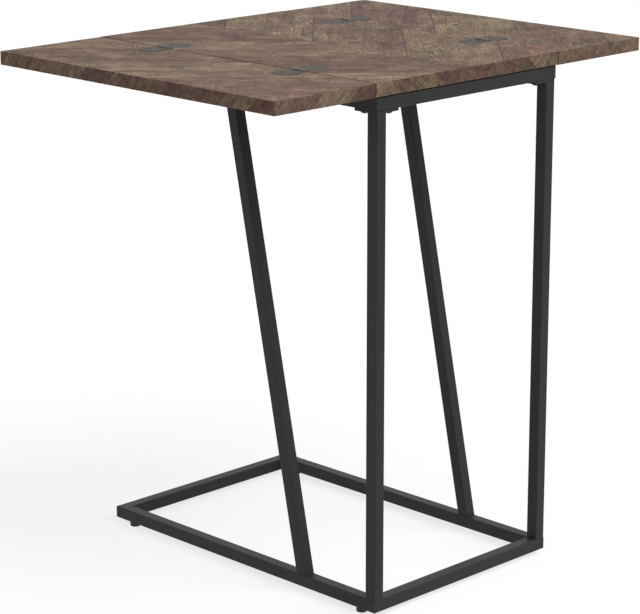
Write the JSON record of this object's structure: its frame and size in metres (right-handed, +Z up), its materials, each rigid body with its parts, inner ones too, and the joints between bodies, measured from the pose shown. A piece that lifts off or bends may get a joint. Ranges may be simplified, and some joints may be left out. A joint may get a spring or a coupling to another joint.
{
  "type": "extendable accent table",
  "caption": "Accent table whose chevron wood top widens with fold-over leaves on flush hinges, carried by a C-shaped square-tube steel frame that slides round a seat.",
  "frame": {"origin": "on the floor, under the middle of the open tabletop", "axes": "+X along the front edge towards the right leaf, +Y from the post side to the open side, +Z up"},
  "size_m": [0.6098, 0.4636, 0.6248],
  "materials": {
    "panel_wood": "chevron parquet of greyed and brown planks, matt lacquer",
    "frame_steel": "charcoal powder coat, fine satin texture",
    "hinge_metal": "gunmetal plating, satin",
    "pin_steel": "dark plated steel pin",
    "hinge_screw_steel": "dark plated countersunk screws",
    "bolt_steel": "black-coated button-head bolts",
    "zinc_steel": "bright zinc plating",
    "foot_plastic": "black moulded polyethylene"
  },
  "bodies": {
    "table": {"top_panel": "panel_wood", "left_front_hinge_fixed_plate": "hinge_metal", "left_front_hinge_pin": "pin_steel", "left_rear_hinge_fixed_plate": "hinge_metal", "left_rear_hinge_pin": "pin_steel", "right_front_hinge_fixed_plate": "hinge_metal", "right_front_hinge_pin": "pin_steel", "right_rear_hinge_fixed_plate": "hinge_metal", "right_rear_hinge_pin": "pin_steel", "panel_hinge_screws": "hinge_screw_steel", "top_front_rail": "frame_steel", "top_rear_rail": "frame_steel", "top_left_rail": "frame_steel", "top_right_rail": "frame_steel", "left_post": "frame_steel", "right_post": "frame_steel", "left_brace": "frame_steel", "right_brace": "frame_steel", "left_post_plate": "frame_steel", "right_post_plate": "frame_steel", "left_brace_plate": "frame_steel", "right_brace_plate": "frame_steel", "base_front_tube": "frame_steel", "base_rear_tube": "frame_steel", "base_left_tube": "frame_steel", "base_right_tube": "frame_steel", "plate_bolts": "bolt_steel", "rail_nuts": "zinc_steel", "panel_screws": "zinc_steel", "front_left_foot": "foot_plastic", "front_right_foot": "foot_plastic", "rear_left_foot": "foot_plastic", "rear_right_foot": "foot_plastic"},
    "left_leaf": {"left_leaf": "panel_wood", "left_front_hinge_leaf_plate": "hinge_metal", "left_rear_hinge_leaf_plate": "hinge_metal", "left_leaf_hinge_screws": "hinge_screw_steel"},
    "right_leaf": {"right_leaf": "panel_wood", "right_front_hinge_leaf_plate": "hinge_metal", "right_rear_hinge_leaf_plate": "hinge_metal", "right_leaf_hinge_screws": "hinge_screw_steel"}
  },
  "joints": [
    {"name": "left_leaf_hinge", "type": "hinge", "parent": "table", "child": "left_leaf", "pos_m": [-0.153, 0, 0.62255], "axis": [0, 1, 0], "range_deg": [0, 180]},
    {"name": "right_leaf_hinge", "type": "hinge", "parent": "table", "child": "right_leaf", "pos_m": [0.153, 0, 0.62255], "axis": [0, -1, 0], "range_deg": [0, 180]}
  ]
}
